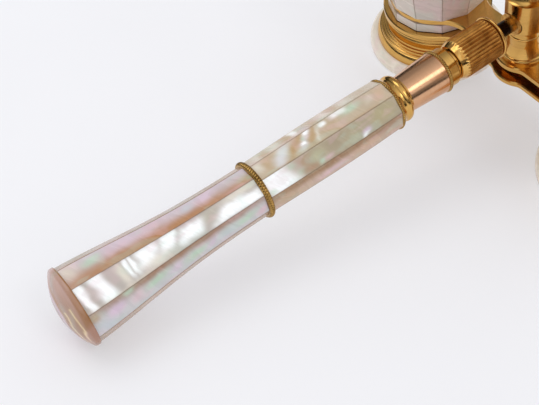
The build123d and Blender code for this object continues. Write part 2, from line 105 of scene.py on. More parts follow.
def srgb(red, green, blue):
    """Linear colour from a 0 to 255 display colour."""
    linear = []
    for value in (red / 255, green / 255, blue / 255):
        linear.append(value / 12.92 if value <= 0.04045 else ((value + 0.055) / 1.055) ** 2.4)
    return (*linear, 1.0)


# ---- materials ----
class Nodes:
    """A node tree, whose nodes are added by short calls."""

    def __init__(self, tree):
        self.tree = tree
        self.tree.nodes.clear()

    def add(self, kind, inputs=None, **settings):
        node = self.tree.nodes.new(kind)
        for key, value in settings.items():
            setattr(node, key, value)
        for key, value in (inputs or {}).items():
            self.put(node, key, value)
        return node

    def put(self, node, key, value):
        if isinstance(value, bpy.types.NodeSocket):
            self.tree.links.new(value, node.inputs[key])
        else:
            node.inputs[key].default_value = value

    def math(self, operation, a, b=0.0):
        return self.add("ShaderNodeMath", {0: a, 1: b}, operation=operation).outputs[0]

    def span(self, value, low, high, to_low=0.0, to_high=1.0):
        """A value carried smoothly from one range to another, and held at its ends."""
        inputs = {
            "Value": value,
            "From Min": low,
            "From Max": high,
            "To Min": to_low,
            "To Max": to_high,
        }
        return self.add("ShaderNodeMapRange", inputs, interpolation_type="SMOOTHSTEP").outputs[0]


class Shader(Nodes):
    """One material round a Principled BSDF."""

    def __init__(self, name):
        self.material = bpy.data.materials.new(name)
        self.material.use_nodes = True
        super().__init__(self.material.node_tree)
        self.surface = self.add("ShaderNodeBsdfPrincipled")
        self.add("ShaderNodeOutputMaterial", {"Surface": self.surface.outputs[0]})

    def set(self, **values):
        for key, value in values.items():
            self.put(self.surface, key.replace("_", " "), value)

    def place(self):
        """Position in millimetres on the axes of the glasses."""
        coordinates = self.add("ShaderNodeTexCoord").outputs["Object"]
        inputs = {
            "Vector": coordinates,
            "Location": centre,
            "Rotation": (tilt, 0, 0),
            "Scale": (mm, mm, mm),
        }
        return self.add("ShaderNodeMapping", inputs, vector_type="TEXTURE").outputs[0]

    def distance_back(self, place):
        """Millimetres from the column away from the handle, so negative along the handle."""
        return self.add("ShaderNodeSeparateXYZ", {0: place}).outputs["Y"]

    def attribute(self, name, output):
        return self.add("ShaderNodeAttribute", attribute_name=name).outputs[output]

    def scaled(self, vector, x, y, z):
        inputs = {0: vector, 1: (x, y, z)}
        return self.add("ShaderNodeVectorMath", inputs, operation="MULTIPLY").outputs[0]

    def noise(self, vector, scale, detail=2.0, roughness=0.5, distortion=0.0):
        inputs = {
            "Vector": vector,
            "Scale": scale,
            "Detail": detail,
            "Roughness": roughness,
            "Distortion": distortion,
        }
        return self.add("ShaderNodeTexNoise", inputs).outputs["Fac"]

    def mix(self, share, a, b, blend="MIX"):
        node = self.add("ShaderNodeMix", data_type="RGBA", blend_type=blend)
        self.put(node, 0, share)
        self.put(node, 6, a)
        self.put(node, 7, b)
        return node.outputs[2]

    def colour(self, red, green, blue):
        return self.add("ShaderNodeCombineColor", {0: red, 1: green, 2: blue}).outputs[0]

    def bump(self, height, strength, distance):
        inputs = {"Height": height, "Strength": strength, "Distance": distance * mm}
        return self.add("ShaderNodeBump", inputs).outputs[0]


def metal(name, colour, dark, rough, axis, lines=0.25, spots=0.25):
    """Gilt or plain brass, turned about an axis (x, y or z of the glasses), with light tarnish."""
    shader = Shader(name)
    place = shader.place()
    stretch = {"x": (6, 0.15, 0.15), "y": (0.15, 6, 0.15), "z": (0.15, 0.15, 6)}[axis]
    turned = shader.noise(shader.scaled(place, *stretch), 1.6, detail=3.0, roughness=0.6)
    cloud = shader.noise(place, 0.35, detail=4.0, roughness=0.6, distortion=0.4)
    specks = shader.noise(place, 2.6, detail=3.0, roughness=0.65)
    stain = shader.math("MULTIPLY", shader.span(cloud, 0.45, 0.75), shader.span(specks, 0.4, 0.75))
    tone = shader.mix(shader.math("MULTIPLY", stain, spots), colour, dark)
    tone = shader.mix(shader.span(turned, 0.35, 0.8, 0.0, lines), tone, dark)
    brushed = shader.span(turned, 0.3, 0.75, rough * 0.75, rough * 1.2)
    dulled = shader.math("MULTIPLY", stain, 0.12)
    shader.set(
        Base_Color=tone,
        Metallic=1.0,
        Roughness=shader.math("ADD", brushed, dulled),
        Normal=shader.bump(turned, 0.08, 0.02),
    )
    return shader.material


def pearl(name):
    """Mother-of-pearl: broad tones and painted sheen come with the mesh, slanted waves and fire from nodes."""
    shader = Shader(name)
    tone = shader.attribute("tone", "Color")
    where = shader.attribute("place", "Vector")
    sheen_glow = shader.attribute("sheen_glow", "Fac")
    edge = shader.attribute("edge", "Fac")
    slanted = shader.add("ShaderNodeMapping", {"Vector": where, "Rotation": (0, 0, 0.5)}).outputs[0]
    wave = shader.noise(shader.scaled(slanted, 0.16, 0.5, 1.0), 1.0, roughness=0.45, distortion=0.8)
    glint = shader.noise(shader.scaled(slanted, 0.3, 1.3, 1.0), 1.0, distortion=0.9)
    fire = shader.noise(shader.scaled(where, 0.3, 0.16, 1.0), 1.0, detail=1.0, distortion=0.8)
    pink_fire, green_fire, seam_brown = srgb(232, 190, 198), srgb(190, 218, 200), srgb(120, 92, 68)
    colour = shader.mix(shader.span(fire, 0.5, 0.68, 0.0, 0.2), tone, pink_fire)
    colour = shader.mix(shader.span(fire, 0.47, 0.3, 0.0, 0.2), colour, green_fire)
    colour = shader.mix(shader.span(edge, 0.0, 0.9, 0.5, 0.0), colour, seam_brown)
    # Painted glints: slanted streaks that tint the painted sheen
    warm = shader.span(glint, 0.36, 0.62, 0.92, 1.02)
    cool = shader.span(glint, 0.36, 0.62, 0.91, 1.03)
    streak = shader.mix(sheen_glow, (1, 1, 1, 1), shader.colour(warm, warm, cool))
    colour = shader.mix(1.0, colour, streak, "MULTIPLY")
    light = shader.span(wave, 0.3, 0.7, 0.95, 1.03)
    colour = shader.mix(1.0, colour, shader.colour(light, light, light), "MULTIPLY")
    shader.set(
        Base_Color=colour,
        Roughness=shader.span(wave, 0.3, 0.7, 0.2, 0.32),
        Specular_IOR_Level=0.3,
        Coat_Weight=0.15,
        Coat_Roughness=0.08,
        # Painted glow: the sheen share makes the surface glow faintly, though it is no lamp
        Emission_Color=(1.0, 1.0, 1.0, 1.0),
        Emission_Strength=shader.math("MULTIPLY", sheen_glow, 0.1),
        Normal=shader.bump(wave, 0.02, 0.1),
    )
    return shader.material


def wood(name):
    """Turned hardwood with its grain along the handle."""
    shader = Shader(name)
    stretched = shader.scaled(shader.place(), 2.0, 0.12, 2.0)
    grain = shader.noise(stretched, 1.2, detail=4.0, roughness=0.6, distortion=0.6)
    shader.set(
        Base_Color=shader.mix(shader.span(grain, 0.3, 0.7), srgb(74, 48, 30), srgb(112, 78, 48)),
        Roughness=0.6,
        Normal=shader.bump(grain, 0.2, 0.05),
    )
    return shader.material


def glass(name):
    """Clear glass with faint smudges."""
    shader = Shader(name)
    smudge = shader.noise(shader.place(), 0.5, detail=3.0, roughness=0.6)
    share = shader.span(smudge, 0.3, 0.7)
    shader.set(
        Base_Color=shader.mix(share, srgb(244, 250, 247), srgb(236, 246, 243)),
        Roughness=shader.span(smudge, 0.45, 0.8, 0.0, 0.05),
        Transmission_Weight=1.0,
        IOR=1.52,
    )
    return shader.material


def drum_gilt(name):
    """Satin gilt in the flutes, browned by painted shade, and a polished bevel at the drum's far end."""
    shader = Shader(name)
    place = shader.place()
    cloud = shader.noise(place, 0.5, detail=3.0, roughness=0.6, distortion=0.4)
    lines = shader.noise(shader.scaled(place, 0.2, 5.0, 0.2), 1.6, detail=3.0, roughness=0.6)
    bevel = shader.span(shader.distance_back(place), -bevel_start + 0.08, -bevel_start - 0.08)
    # Satin tones darkened to brown: partly the satin finish, partly painted shade
    satin_and_shade = shader.mix(shader.span(cloud, 0.35, 0.7), srgb(200, 146, 74), srgb(166, 114, 52))
    satin_and_shade = shader.mix(shader.span(lines, 0.4, 0.8, 0.0, 0.3), satin_and_shade, srgb(124, 80, 34))
    polished = shader.mix(shader.span(cloud, 0.4, 0.7), srgb(226, 180, 104), srgb(206, 150, 76))
    brushed = shader.span(lines, 0.3, 0.75, 0.3, 0.4)
    smoother = shader.math("MULTIPLY", bevel, 0.22)
    shader.set(
        Base_Color=shader.mix(bevel, satin_and_shade, polished),
        Metallic=1.0,
        Roughness=shader.math("SUBTRACT", brushed, smoother),
    )
    return shader.material


def arbor_brass_painted_shade(name):
    """Brass of the drum's arbor: gilt at the housing, blackened towards the drum by painted shade."""
    shader = Shader(name)
    place = shader.place()
    cloud = shader.noise(place, 0.8, detail=3.0, roughness=0.6, distortion=0.4)
    # Painted shade: near-black towards the drum, where the drum shades the arbor
    dark = shader.span(shader.distance_back(place), -collar_end + 0.1, -collar_end - 1.6)
    tone = shader.mix(shader.span(cloud, 0.3, 0.7), gilt, srgb(176, 124, 58))
    shader.set(
        Base_Color=shader.mix(dark, tone, srgb(34, 20, 12)),
        Metallic=1.0,
        Roughness=shader.span(cloud, 0.3, 0.7, 0.25, 0.4),
    )
    return shader.material


gilt = srgb(224, 176, 98)
gilt_shade = srgb(128, 86, 34)
rose_gilt = srgb(224, 174, 134)
finishes = {
    "gilt_brass": metal("gilt_brass", gilt, gilt_shade, 0.2, "z"),
    "drawn_brass": metal("drawn_brass", srgb(214, 170, 92), srgb(128, 88, 38), 0.26, "x"),
    "rose_gilt": metal("rose_gilt", rose_gilt, srgb(160, 108, 74), 0.2, "y", lines=0.2),
    "fluted_gilt": drum_gilt("fluted_gilt"),
    "aged_gilt": metal(
        "aged_gilt", srgb(190, 150, 84), srgb(64, 42, 18), 0.24, "y", lines=0.5, spots=0.8
    ),
    # This slot's blackening towards the drum is painted shade, not oil
    "oiled_brass": arbor_brass_painted_shade("oiled_brass"),
    "blackened_brass": metal("blackened_brass", srgb(52, 50, 48), srgb(28, 26, 25), 0.5, "z"),
    "steel": metal("steel", srgb(168, 168, 170), srgb(110, 108, 106), 0.28, "y"),
    "core_wood": wood("core_wood"),
    "optical_glass": glass("optical_glass"),
    "pearl_barrel": pearl("pearl_barrel"),
    "pearl_eyecup": pearl("pearl_eyecup"),
    "pearl_grip": pearl("pearl_grip"),
    "pearl_butt": pearl("pearl_butt"),
}
gilt_along_handle = metal("gilt_brass_handle", gilt, gilt_shade, 0.15, "y")


# ---- mesh tools ----
def clouds(points, size, key):
    """Smooth noise from -1 to 1 at points, from waves in seeded directions."""
    octaves, waves = 3, 4
    finer, fainter = 1.9, 0.6
    peak = 3.2
    generator = np.random.default_rng(seed + key)
    total = np.zeros(len(points))
    for octave in range(octaves):
        for _ in range(waves):
            direction = generator.normal(size=points.shape[1])
            direction *= 2 * pi / size * finer**octave / np.linalg.norm(direction)
            phase = generator.uniform(0, 2 * pi)
            total += np.sin(points @ direction + phase) * fainter**octave
    return np.clip(total / peak, -1, 1)


def grid_faces(rows, columns, wrap_rows, first=0):
    """Quads between rows of points that each close on themselves."""
    faces = []
    for i in range(rows if wrap_rows else rows - 1):
        for j in range(columns):
            a = first + i * columns + j
            b = first + i * columns + (j + 1) % columns
            c = first + (i + 1) % rows * columns + (j + 1) % columns
            d = first + (i + 1) % rows * columns + j
            faces.append((a, b, c, d))
    return faces


def make_piece(name, place, points, faces, body, slot_name, nodes, sharp):
    """Object from points in a place's millimetres, with smooth faces and edges kept by angle."""
    mesh = bpy.data.meshes.new(name)
    matrix = np.array(place)
    world = np.asarray(points, float) @ matrix[:3, :3].T + matrix[:3, 3]
    mesh.from_pydata(world.tolist(), [], facing_out(points, faces))
    mesh.update()
    mesh.shade_smooth()
    mesh.set_sharp_from_angle(angle=radians(sharp))
    mesh.materials.append(finishes[slot_name])
    piece = bpy.data.objects.new(name, mesh)
    bpy.context.scene.collection.objects.link(piece)
    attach(piece, body)
    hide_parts(*nodes)
    return piece


def write_attributes(piece, tone, place, sheen_glow, edge=None):
    """What the pearl material reads at each point: tone, pattern place, painted sheen glow and edge."""
    count = len(tone)
    rgba = np.column_stack([tone, np.ones(count)])
    for name, kind, field, values in (
        ("tone", "FLOAT_COLOR", "color", rgba),
        ("place", "FLOAT_VECTOR", "vector", place),
        ("sheen_glow", "FLOAT", "value", sheen_glow),
        ("edge", "FLOAT", "value", np.ones(count) if edge is None else edge),
    ):
        attribute = piece.data.attributes.new(name, kind, "POINT")
        attribute.data.foreach_set(field, np.asarray(values, np.float32).ravel())


def arc(start, through, end, steps=8):
    """Points of a circular arc after its start."""
    (x1, y1), (x2, y2), (x3, y3) = start, through, end
    d = 2 * (x1 * (y2 - y3) + x2 * (y3 - y1) + x3 * (y1 - y2))
    s1, s2, s3 = x1 * x1 + y1 * y1, x2 * x2 + y2 * y2, x3 * x3 + y3 * y3
    cx = (s1 * (y2 - y3) + s2 * (y3 - y1) + s3 * (y1 - y2)) / d
    cy = (s1 * (x3 - x2) + s2 * (x1 - x3) + s3 * (x2 - x1)) / d
    radius = sqrt((x1 - cx) ** 2 + (y1 - cy) ** 2)
    a1, a2, a3 = (atan2(y - cy, x - cx) for x, y in (start, through, end))
    turn = (a3 - a1) % (2 * pi)
    if (a2 - a1) % (2 * pi) > turn:
        turn -= 2 * pi
    angles = [a1 + turn * k / steps for k in range(1, steps + 1)]
    return [(cx + radius * cos(a), cy + radius * sin(a)) for a in angles]


def profile(start, *steps, fine=8):
    """Outline of (radius, height) points. A step is a point, or (through, end) for an arc."""
    points = [start]
    for step in steps:
        if isinstance(step[0], tuple):
            points += arc(points[-1], step[0], step[1], fine)
        else:
            points.append(step)
    return points


def lathe(outline, steps, shape=None):
    """Points and faces of an outline turned about Z. Its ends may lie on the axis.

    shape(radius, height, angle) gives back changed radii and heights.
    """
    closed = outline[0][0] > 1e-6
    body = [p for p in outline if p[0] > 1e-6]
    angles = np.arange(steps) * 2 * pi / steps
    radius = np.repeat([p[0] for p in body], steps).astype(float)
    height = np.repeat([p[1] for p in body], steps).astype(float)
    angle = np.tile(angles, len(body))
    if shape:
        radius, height = shape(radius, height, angle)
    points = np.column_stack([radius * np.cos(angle), radius * np.sin(angle), height])
    faces = grid_faces(len(body), steps, closed)
    if not closed:
        points = np.vstack([points, (0, 0, outline[0][1]), (0, 0, outline[-1][1])])
        last = (len(body) - 1) * steps
        for j in range(steps):
            k = (j + 1) % steps
            faces.append((len(points) - 2, k, j))
            faces.append((len(points) - 1, last + j, last + k))
    return points, faces


def facing_out(points, faces):
    """Faces turned so that the closed mesh has a positive volume."""
    volume = 0.0
    for face in faces:
        a = points[face[0]]
        for b, c in zip(face[1:-1], face[2:]):
            volume += np.dot(a, np.cross(points[b], points[c]))
    return faces if volume > 0 else [tuple(reversed(face)) for face in faces]


# ---- pearl staves ----
pearl_edge = 0.16
grip_staves = 9
grip_clock = {"upper": 1.6, "lower": 13.6}
stave_step = 0.35
gap = 0.06
face_columns = 13
edge_turns = (30, 60, 90)
edge_fade = 1.4 * pearl_edge
pattern_width = 2.5
pattern_step = 13.7


class Stave:
    """Tones of one stave: a base colour and soft-edged patches, given one by one.

    A patch is (colour, along, across, length, width, slant, strength); along is in millimetres
    from the stave's visible end, across from -1 to 1.
    """

    def __init__(self, base, *patches):
        self.base = base
        self.patches = patches


def blend_in(tone, colour, share):
    """Tones moved toward a colour by a share at each point."""
    tone += (np.array(colour[:3]) - tone) * share[:, None]


def stave_tones(stave, along, across, key):
    """Colour and painted sheen share at points of a stave, in millimetres along and -1 to 1 across."""
    half_width, wander_along, wander_across = 2.2, 0.45, 0.08
    white_falloff, falloff = 3.6, 2.4
    field = np.column_stack([along, across * half_width])
    along = along + clouds(field, 6.0, key) * wander_along
    across_moved = across + clouds(field, 8.0, key + 100) * wander_across
    tone = np.tile(np.array(stave.base[:3]), (len(along), 1))
    sheen_glow = np.zeros(len(along))
    for colour, at, over, length, width, slant, strength in stave.patches:
        u = np.abs(2 * (along - at - slant * across) / length)
        v = np.abs(2 * (across_moved - over) / width)
        power = white_falloff if colour is nacre_and_sheen_white else falloff
        share = strength * np.exp(-(u**power) - v**power)
        blend_in(tone, colour, share)
        # White patches set the painted sheen share
        if colour is nacre_and_sheen_white:
            sheen_glow = np.maximum(sheen_glow, share)
    return tone, sheen_glow


def make_staves(
    name, place, flat, low, high, count, clock, thick, staves, start, body, slot_name, nodes
):
    """Closed flat-faced staves round an axis, with softened edges.

    flat(height) is a face's distance from the axis, and tones run from the height start.
    """
    half = pi / count
    stations = np.linspace(low, high, max(2, round((high - low) / stave_step)))
    points, faces, tones, places, sheen_glows, edges = [], [], [], [], [], []

    def width(level):
        return level * tan(half) - gap / 2 / cos(half)

    for k in range(count):
        angle = radians(clock) + 2 * pi * k / count
        out = np.array((cos(angle), sin(angle)))
        over = np.array((-sin(angle), cos(angle)))
        first = len(points)
        along, across, rim = [], [], []
        for s in stations:
            r = flat(s)
            w = width(r)
            section = [(u, r) for u in np.linspace(-w + pearl_edge, w - pearl_edge, face_columns)]
            for a in map(radians, edge_turns):
                section.append((w - pearl_edge * (1 - sin(a)), r - pearl_edge * (1 - cos(a))))
            section += [(width(r - thick), r - thick), (-width(r - thick), r - thick)]
            for a in map(radians, reversed(edge_turns)):
                section.append((-w + pearl_edge * (1 - sin(a)), r - pearl_edge * (1 - cos(a))))
            for u, level in section:
                x, y = out * level + over * u
                points.append((x, y, s))
                along.append(abs(s - start))
                across.append(u / w)
                rim.append(min(1.0, max(0.0, (w - abs(u)) / edge_fade)))
        columns = len(section)
        faces += grid_faces(len(stations), columns, False, first)
        faces.append(tuple(first + j for j in reversed(range(columns))))
        last = first + (len(stations) - 1) * columns
        faces.append(tuple(last + j for j in range(columns)))
        along, across = np.array(along), np.array(across)
        tone, sheen_glow = stave_tones(staves[k % len(staves)], along, across, 10 * k + len(name))
        tones.append(tone)
        sheen_glows.append(sheen_glow)
        edges.append(rim)
        depth = np.full(len(along), pattern_step * k)
        places.append(np.column_stack([across * pattern_width, along, depth]))
    piece = make_piece(name, place, np.array(points), faces, body, slot_name, nodes, sharp=28)
    write_attributes(
        piece, np.vstack(tones), np.vstack(places), np.concatenate(sheen_glows), np.concatenate(edges)
    )


# shell colours
# White and silver are partly the nacre's own pale tone and partly painted sheen; the white patches also paint a
# faint glow
nacre_and_sheen_white = srgb(252, 254, 254)
nacre_and_sheen_silver = srgb(222, 220, 220)
pale = srgb(226, 218, 202)
cream = srgb(228, 216, 196)
tan_shell = srgb(192, 164, 128)
deep_tan = srgb(188, 156, 114)
brown = srgb(182, 130, 84)
mint = srgb(192, 214, 190)
lavender = srgb(222, 198, 216)
rose = srgb(226, 194, 200)
grey = srgb(196, 190, 186)
blue_grey = srgb(204, 209, 214)
moss = srgb(184, 178, 146)
peach = srgb(212, 178, 150)

lower_staves = [
    Stave(
        srgb(206, 204, 204),
        (srgb(160, 116, 84), 22.0, 0.92, 60.0, 1.2, 0.0, 0.92),
        (mint, 9.2, 0.75, 2.2, 0.5, 0.0, 0.8),
        (tan_shell, 0.8, 0.55, 2.4, 0.8, 0.0, 0.8),
        (blue_grey, 2.3, -0.6, 4.5, 0.9, 0.0, 0.8),
        (lavender, 5.4, 0.15, 4.0, 0.9, 1.0, 0.95),
        (rose, 10.9, -0.1, 3.2, 0.9, 1.0, 0.7),
        (mint, 15.6, 0.1, 5.6, 0.75, 2.0, 0.95),
        (lavender, 21.2, -0.16, 3.4, 0.9, 1.0, 0.6),
        (mint, 25.7, -0.2, 5.0, 0.8, 1.0, 0.9),
        (lavender, 30.3, -0.15, 3.2, 0.8, 1.0, 0.6),
        (blue_grey, 34.2, -0.3, 3.2, 0.8, 1.0, 0.6),
        (mint, 39.0, -0.1, 5.0, 0.8, 1.0, 0.8),
        (rose, 43.0, -0.4, 2.4, 0.8, 1.0, 0.8),
    ),
    Stave(
        srgb(182, 172, 163),
        (nacre_and_sheen_white, 1.4, 0.0, 2.0, 3.0, -0.4, 1.0),
        (nacre_and_sheen_white, 5.4, 0.0, 3.4, 3.2, -0.6, 1.0),
        (pale, 10.2, 0.1, 1.7, 2.0, -0.4, 1.0),
        (nacre_and_sheen_white, 11.8, 0.3, 1.2, 1.8, -0.4, 1.0),
        (nacre_and_sheen_white, 13.2, 0.3, 1.1, 1.7, -0.4, 1.0),
        (nacre_and_sheen_white, 16.4, 0.35, 5.4, 1.7, 0.6, 1.0),
        (pale, 18.0, -0.5, 6.0, 0.9, 0.0, 0.9),
        (nacre_and_sheen_white, 21.4, 0.35, 3.9, 1.35, 1.0, 1.0),
        (grey, 24.2, -0.3, 1.4, 1.4, -1.5, 0.9),
        (nacre_and_sheen_white, 27.2, 0.0, 6.4, 1.3, 1.0, 1.0),
        (moss, 31.9, 0.3, 3.6, 1.4, 0.0, 0.35),
        (nacre_and_sheen_white, 36.6, -0.3, 6.2, 1.5, 2.0, 1.0),
        (nacre_and_sheen_white, 41.2, -0.5, 9.0, 1.2, 0.0, 1.0),
        (pale, 40.5, 0.8, 11.0, 0.9, 0.0, 0.9),
        (cream, 12.0, -0.97, 24.0, 0.3, 0.0, 0.6),
    ),
    Stave(
        srgb(212, 198, 204),
        (brown, 20.0, -0.9, 80.0, 2.05, 0.0, 0.97),
        (cream, 1.5, 0.5, 4.5, 1.6, 0.0, 0.7),
        (mint, 6.2, 0.35, 3.8, 0.9, 1.0, 0.8),
        (lavender, 14.0, 0.5, 10.0, 1.0, 2.0, 0.4),
        (rose, 20.0, 0.6, 6.0, 1.0, 1.0, 0.5),
        (blue_grey, 28.8, 0.45, 4.2, 1.1, 1.0, 0.8),
        (lavender, 33.2, 0.4, 4.2, 0.9, 1.0, 0.6),
        (grey, 38.8, 0.3, 5.0, 1.2, 1.0, 0.4),
        (tan_shell, 42.6, -0.4, 2.8, 0.9, 0.0, 0.7),
        (moss, 44.0, -0.5, 1.8, 0.7, 0.0, 0.8),
    ),
    Stave(
        srgb(166, 138, 110),
        (grey, 29.0, 0.0, 9.0, 2.0, 0.0, 0.3),
        (peach, 42.0, 0.0, 8.0, 2.0, 0.0, 0.3),
        (rose, 12.0, 0.2, 8.0, 1.6, 1.0, 0.3),
    ),
    Stave(
        srgb(202, 192, 186),
        (mint, 12.0, 0.0, 9.0, 1.2, 2.0, 0.6),
        (brown, 25.0, 0.8, 60.0, 0.8, 0.0, 0.8),
    ),
    Stave(
        srgb(204, 196, 190),
        (nacre_and_sheen_white, 14.0, 0.0, 8.0, 1.4, 2.0, 0.9),
        (nacre_and_sheen_white, 30.0, 0.0, 9.0, 1.5, 3.0, 0.9),
    ),
    Stave(
        srgb(212, 200, 200),
        (lavender, 12.0, 0.2, 12.0, 1.2, 1.0, 0.6),
        (brown, 20.0, -0.8, 60.0, 0.8, 0.0, 0.8),
    ),
    Stave(
        srgb(206, 190, 176),
        (nacre_and_sheen_white, 22.0, 0.2, 12.0, 1.4, 3.0, 0.7),
        (mint, 36.0, 0.0, 8.0, 1.0, 1.0, 0.5),
    ),
    Stave(
        srgb(172, 138, 110),
        (peach, 14.0, 0.3, 12.0, 1.4, 0.0, 0.6),
        (tan_shell, 30.0, 0.3, 18.0, 1.4, 0.0, 0.5),
    ),
]
upper_staves = [
    Stave(
        srgb(204, 178, 156),
        (srgb(160, 122, 86), 17.0, 0.75, 60.0, 1.3, 0.0, 0.95),
        (rose, 16.0, -0.35, 8.0, 0.8, 0.0, 0.8),
        (peach, 25.5, -0.2, 7.0, 1.0, 0.0, 0.7),
        (tan_shell, 4.0, -0.3, 6.0, 1.2, 0.0, 0.5),
    ),
    Stave(
        srgb(180, 166, 140),
        (nacre_and_sheen_white, 2.6, 0.0, 9.2, 3.4, -1.2, 1.0),
        (mint, 0.8, -0.6, 2.2, 0.6, 0.0, 0.6),
        (mint, 7.9, 0.6, 2.2, 0.8, -1.0, 0.6),
        (mint, 8.5, -0.3, 1.8, 0.7, 0.0, 0.5),
        (srgb(188, 152, 126), 10.4, 0.3, 3.2, 0.9, 0.0, 0.7),
        (srgb(178, 142, 114), 11.1, -0.6, 4.2, 0.7, 0.0, 0.8),
        (srgb(192, 188, 154), 13.3, 0.2, 3.6, 1.1, 1.0, 0.8),
        (mint, 14.6, -0.6, 1.7, 0.5, 1.0, 0.9),
        (rose, 16.3, -0.6, 2.2, 0.5, 1.0, 0.6),
        (srgb(172, 156, 130), 18.6, 0.4, 7.0, 1.4, 0.0, 0.7),
        (moss, 23.2, -0.2, 5.0, 1.2, 1.0, 0.6),
        (lavender, 26.7, -0.5, 1.7, 0.55, 1.0, 0.95),
        (nacre_and_sheen_white, 26.5, -0.75, 1.2, 0.3, 1.0, 0.9),
        (srgb(188, 176, 136), 31.2, 0.2, 6.5, 1.7, 0.0, 0.8),
    ),
    Stave(
        srgb(198, 180, 154),
        (pale, 1.0, 0.5, 3.0, 1.3, 0.0, 0.8),
        (tan_shell, 3.4, 0.1, 2.7, 2.0, 0.8, 0.8),
        (nacre_and_sheen_silver, 6.8, 0.0, 3.4, 2.6, 1.3, 1.0),
        (deep_tan, 10.1, 0.0, 2.8, 3.0, 2.3, 1.0),
        (nacre_and_sheen_silver, 12.9, 0.0, 2.0, 2.8, 1.8, 0.8),
        (nacre_and_sheen_white, 12.4, -0.12, 1.4, 0.42, 0.4, 1.0),
        (nacre_and_sheen_white, 13.7, 0.78, 1.5, 0.42, 0.4, 1.0),
        (mint, 12.8, 0.3, 1.0, 0.5, 0.5, 0.7),
        (deep_tan, 15.0, 0.0, 1.9, 2.6, 1.4, 0.9),
        (pale, 16.4, -0.1, 0.8, 2.0, 0.6, 0.8),
        (nacre_and_sheen_white, 17.9, 0.58, 1.7, 0.5, 0.4, 1.0),
        (tan_shell, 19.6, -0.2, 3.6, 1.8, 0.5, 0.5),
        (nacre_and_sheen_white, 22.6, 0.72, 4.6, 0.7, 0.0, 0.8),
        (mint, 25.6, 0.45, 5.0, 0.9, 1.0, 0.8),
        (pale, 30.4, 0.2, 2.2, 1.0, 1.0, 0.5),
        (peach, 33.2, 0.1, 3.5, 1.6, 1.0, 0.6),
        # Painted shade: a deep tan strip along the stave's lower edge
        (deep_tan, 17.0, -0.97, 40.0, 0.4, 0.0, 0.5),
    ),
    Stave(
        srgb(206, 192, 172),
        (pale, 2.6, 0.0, 2.2, 2.0, 0.0, 0.7),
        (tan_shell, 4.5, -0.3, 2.2, 1.8, 0.0, 0.8),
        (pale, 7.2, 0.0, 2.6, 2.0, 0.0, 0.8),
        (deep_tan, 10.5, 0.0, 2.6, 2.2, 0.0, 0.85),
        (nacre_and_sheen_white, 12.5, 0.1, 1.6, 1.6, 0.0, 0.7),
        (grey, 15.1, -0.3, 2.0, 1.8, 0.0, 0.7),
        (deep_tan, 17.2, -0.3, 2.2, 2.0, 0.0, 0.6),
        (pale, 20.6, 0.0, 2.8, 2.0, 0.0, 0.9),
        (tan_shell, 23.1, 0.2, 2.4, 2.0, 0.0, 0.8),
        (pale, 26.4, 0.0, 3.0, 1.8, 0.0, 0.7),
        (tan_shell, 31.0, 0.0, 4.0, 1.8, 0.0, 0.5),
    ),
    Stave(
        srgb(206, 190, 170),
        (nacre_and_sheen_white, 12.0, 0.1, 6.0, 1.6, 3.0, 0.9),
        (mint, 22.0, 0.0, 6.0, 1.0, 1.0, 0.6),
    ),
    Stave(
        srgb(200, 186, 168),
        (brown, 16.0, 0.8, 50.0, 0.8, 0.0, 0.8),
        (rose, 10.0, -0.4, 10.0, 1.0, 0.0, 0.6),
    ),
    Stave(
        srgb(208, 196, 180),
        (nacre_and_sheen_white, 20.0, 0.0, 9.0, 1.8, 2.0, 0.8),
        (lavender, 8.0, 0.0, 6.0, 1.2, 1.0, 0.5),
    ),
    Stave(
        srgb(202, 186, 164),
        (moss, 14.0, 0.2, 14.0, 1.2, 1.0, 0.6),
        (nacre_and_sheen_white, 28.0, 0.0, 4.0, 1.6, 1.0, 0.8),
    ),
    Stave(srgb(208, 184, 164), (peach, 14.0, 0.0, 24.0, 1.4, 1.0, 0.6)),
]
barrel_staves = [
    Stave(srgb(214, 198, 190), (nacre_and_sheen_white, 18.0, 0.1, 9.0, 1.6, 2.0, 0.8)),
    Stave(srgb(206, 186, 172), (rose, 10.0, 0.0, 14.0, 1.4, 1.0, 0.6)),
    Stave(
        srgb(220, 208, 202),
        (lavender, 12.0, 0.2, 12.0, 1.2, 2.0, 0.5),
        (mint, 21.0, -0.2, 5.0, 1.0, 1.0, 0.4),
    ),
    Stave(
        srgb(204, 186, 166),
        (nacre_and_sheen_white, 6.0, 0.0, 6.0, 1.7, 2.0, 0.9),
        (brown, 14.0, 0.9, 30.0, 0.7, 0.0, 0.5),
    ),
    Stave(srgb(216, 204, 192), (mint, 14.0, 0.1, 8.0, 1.2, 2.0, 0.6)),
]


def smooth_through(table):
    """Curve through (distance, height) points as a polynomial in the height."""
    heights = np.array([p[1] for p in table])
    middle = heights.mean()
    fit = np.polyfit(heights - middle, [p[0] for p in table], len(table) - 1)
    return lambda height: float(np.polyval(fit, height - middle))


butt_start, butt_tip = extent("butt_cap")
upper_low, upper_high = extent("upper_pearl_staves")
lower_low, lower_high = extent("lower_pearl_staves")
upper_flat = smooth_through([(5.95, upper_low), (6.2, 58.0), (6.1, 69.0), (5.92, upper_high)])
lower_flat = smooth_through(
    [(5.85, lower_low), (6.0, 90.0), (6.62, 102.0), (7.66, 113.0), (8.52, lower_high)]
)


def make_grip_staves():
    """Two tiers of nine staves; tones run from the end that is nearer the butt."""
    for tier, flat, low, high, staves in (
        ("upper", upper_flat, upper_low, upper_high, upper_staves),
        ("lower", lower_flat, lower_low, lower_high, lower_staves),
    ):
        make_staves(
            tier + "_staves", handle, flat, low, high, grip_staves, grip_clock[tier], stave_t,
            staves, high, "grip", "pearl_grip", [tier + "_pearl_staves"],
        )


